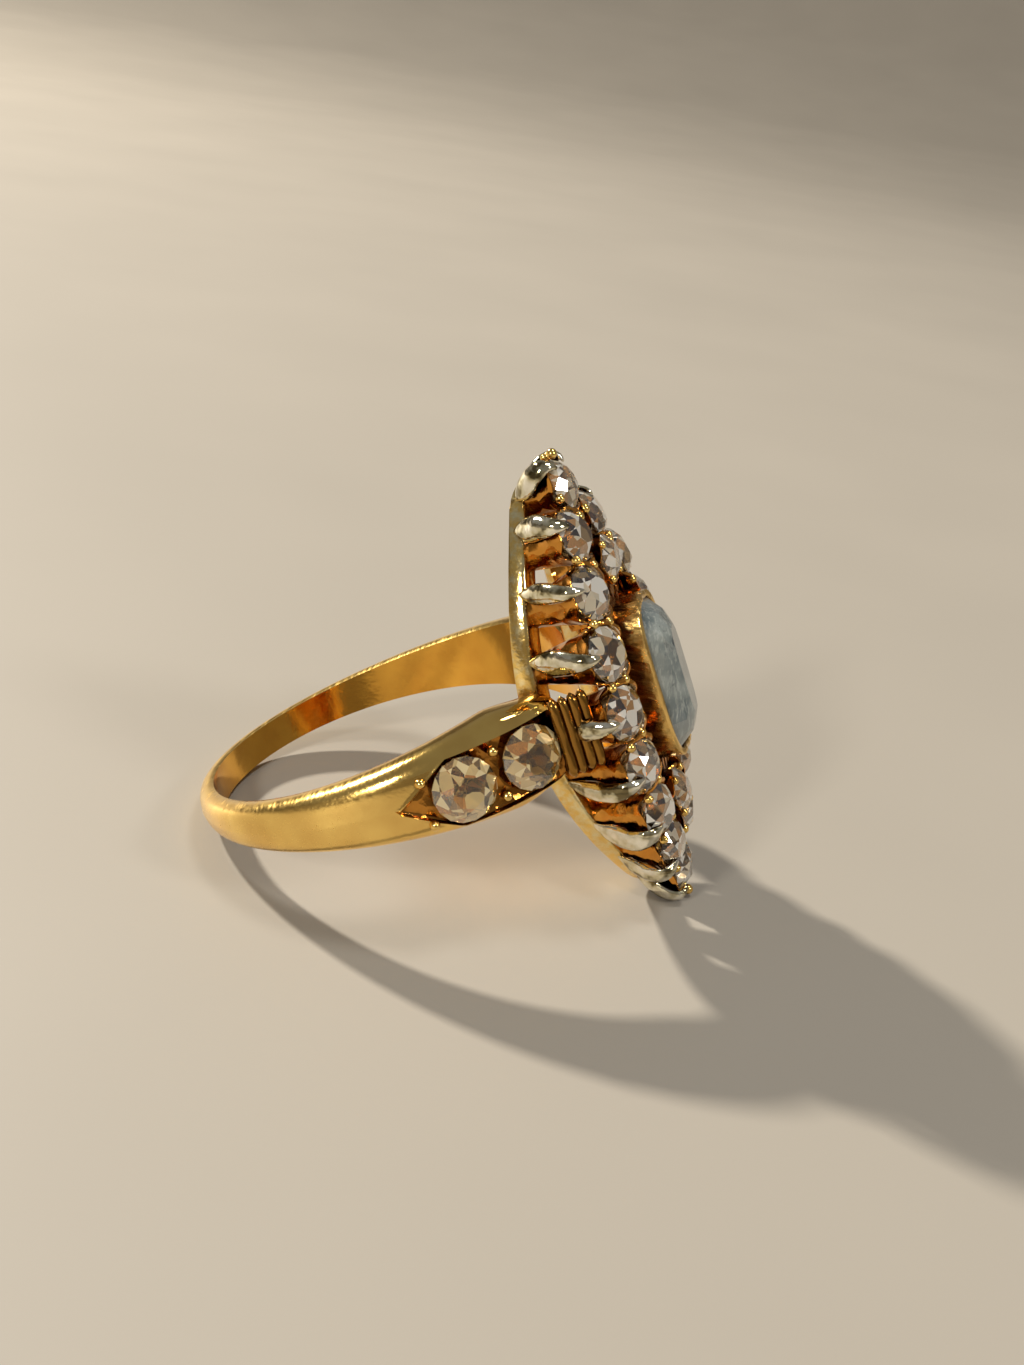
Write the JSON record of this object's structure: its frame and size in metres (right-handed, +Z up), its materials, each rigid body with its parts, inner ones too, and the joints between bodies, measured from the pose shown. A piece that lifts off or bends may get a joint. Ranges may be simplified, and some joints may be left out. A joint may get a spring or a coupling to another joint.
{
  "type": "navette cluster ring",
  "caption": "Antique navette ring with a domed centre stone in a tall bezel, a border of old mine cut stones in open claw collets, and stones sunk in tapering shoulders.",
  "frame": {"origin": "centre of the finger hole, midway along it", "axes": "+X from the back of the shank to the head, +Y across the ring along its symmetry, +Z up as the ring lies at rest"},
  "size_m": [0.0228, 0.0198, 0.0189],
  "materials": {
    "gold": "worn yellow gold, polished and fine scratched, with silver claws",
    "diamond": "old mine cut, polished, slightly warm",
    "sapphire": "domed faceted crown, polished, grey blue with inclusions"
  },
  "bodies": {
    "root": {"mount": "gold", "centre_stone": "sapphire", "border_stone_1": "diamond", "border_stone_2": "diamond", "border_stone_3": "diamond", "border_stone_4": "diamond", "border_stone_5": "diamond", "border_stone_6": "diamond", "border_stone_7": "diamond", "border_stone_8": "diamond", "border_stone_9": "diamond", "border_stone_10": "diamond", "border_stone_11": "diamond", "border_stone_12": "diamond", "border_stone_13": "diamond", "border_stone_14": "diamond", "border_stone_15": "diamond", "border_stone_16": "diamond", "inner_stone_1": "diamond", "inner_stone_2": "diamond", "shoulder_stone_1": "diamond", "shoulder_stone_2": "diamond", "shoulder_stone_3": "diamond", "shoulder_stone_4": "diamond"}
  },
  "joints": []
}
